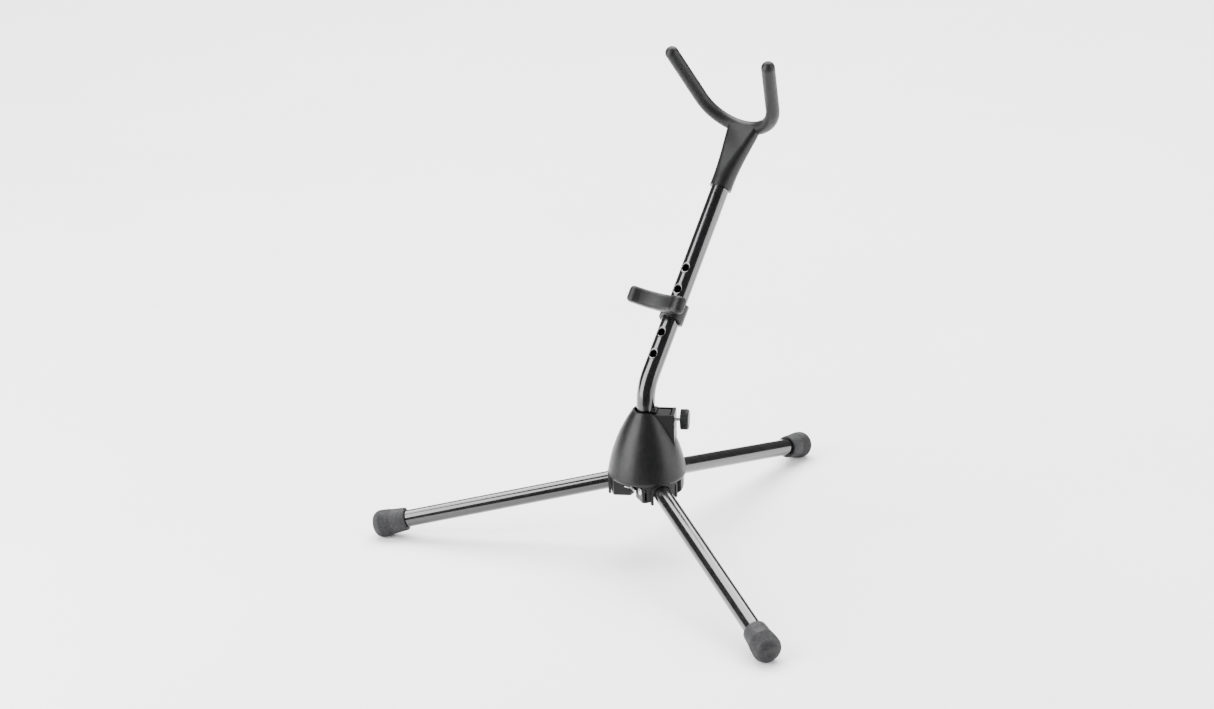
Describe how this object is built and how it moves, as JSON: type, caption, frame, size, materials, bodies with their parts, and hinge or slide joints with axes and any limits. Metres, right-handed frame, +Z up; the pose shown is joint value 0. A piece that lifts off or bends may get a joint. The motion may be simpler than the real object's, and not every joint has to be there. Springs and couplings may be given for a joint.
{
  "type": "saxophone stand",
  "caption": "Folding floor stand that holds a saxophone by its bell in a padded fork and a lower rest on a leaning tubular mast.",
  "frame": {"origin": "on the hub's upright axis, at floor level", "axes": "+Z up, +Y to the rear where the mast leans and one leg points, +X to the right side of the stand"},
  "size_m": [0.5132, 0.4478, 0.494],
  "materials": {
    "black_paint": "gloss black powder coat",
    "grained_plastic": "fine-grained satin",
    "inner_plastic": "satin moulded",
    "knob_plastic": "knurled satin",
    "soft_grip": "matte soft sleeve",
    "foot_rubber": "matte rubber",
    "bright_steel": "zinc plated"
  },
  "bodies": {
    "hub": {"hub_core": "inner_plastic", "hub_cover": "grained_plastic", "bore_liner": "inner_plastic", "cover_spring": "bright_steel", "centre_washer": "bright_steel", "centre_screw": "bright_steel", "clamp_nut": "bright_steel", "leg_pin_rear": "bright_steel", "leg_pin_left": "bright_steel", "leg_pin_right": "bright_steel", "leg_spacers_rear": "bright_steel", "leg_spacers_left": "bright_steel", "leg_spacers_right": "bright_steel"},
    "swivel": {"swivel_cup": "inner_plastic"},
    "mast": {"mast_tube": "black_paint", "mast_end_plug": "inner_plastic", "fork_rod": "bright_steel", "fork_stud": "bright_steel", "fork_sleeve": "soft_grip", "fork_socket": "grained_plastic"},
    "rest": {"rest_bracket": "grained_plastic", "rest_pad": "soft_grip", "snap_tongue": "inner_plastic"},
    "jaw": {"clamp_jaw": "inner_plastic"},
    "clamp_knob": {"clamp_screw": "bright_steel", "knob": "knob_plastic"},
    "leg_rear": {"leg_tube_rear": "black_paint", "leg_knuckle_rear": "inner_plastic", "foot_rear": "foot_rubber"},
    "leg_left": {"leg_tube_left": "black_paint", "leg_knuckle_left": "inner_plastic", "foot_left": "foot_rubber"},
    "leg_right": {"leg_tube_right": "black_paint", "leg_knuckle_right": "inner_plastic", "foot_right": "foot_rubber"}
  },
  "joints": [
    {"name": "leg_fold_rear", "type": "hinge", "parent": "hub", "child": "leg_rear", "pos_m": [0, 0.028, 0.07548], "axis": [-1, 0, 0], "range_deg": [0, 76]},
    {"name": "leg_fold_left", "type": "hinge", "parent": "hub", "child": "leg_left", "pos_m": [-0.02425, -0.014, 0.07548], "axis": [0.5, -0.866, 0], "range_deg": [0, 76]},
    {"name": "leg_fold_right", "type": "hinge", "parent": "hub", "child": "leg_right", "pos_m": [0.02425, -0.014, 0.07548], "axis": [0.5, 0.866, 0], "range_deg": [0, 76]},
    {"name": "mast_turn", "type": "hinge", "parent": "hub", "child": "swivel", "pos_m": [0, 0, 0.086], "axis": [0, 0, 1], "range_deg": [-180, 180]},
    {"name": "mast_lift", "type": "slide", "parent": "swivel", "child": "mast", "axis": [0, 0, 1], "range_m": [0, 0.025]},
    {"name": "rest_height", "type": "slide", "parent": "mast", "child": "rest", "axis": [0, 0.605, 0.7962], "range_m": [-0.0475, 0.0475], "deforming": ["snap_tongue"]},
    {"name": "jaw_slide", "type": "slide", "parent": "hub", "child": "jaw", "axis": [0.866, 0.5, 0], "range_m": [0, 0.0012]},
    {"name": "knob_turn", "type": "hinge", "parent": "jaw", "child": "clamp_knob", "pos_m": [0.02598, 0.015, 0.142], "axis": [0.866, 0.5, 0], "range_deg": [0, 540]}
  ],
  "couplings": [
    {"joint": "jaw_slide", "follows": "knob_turn", "m_per_rad": 0.00012732}
  ]
}
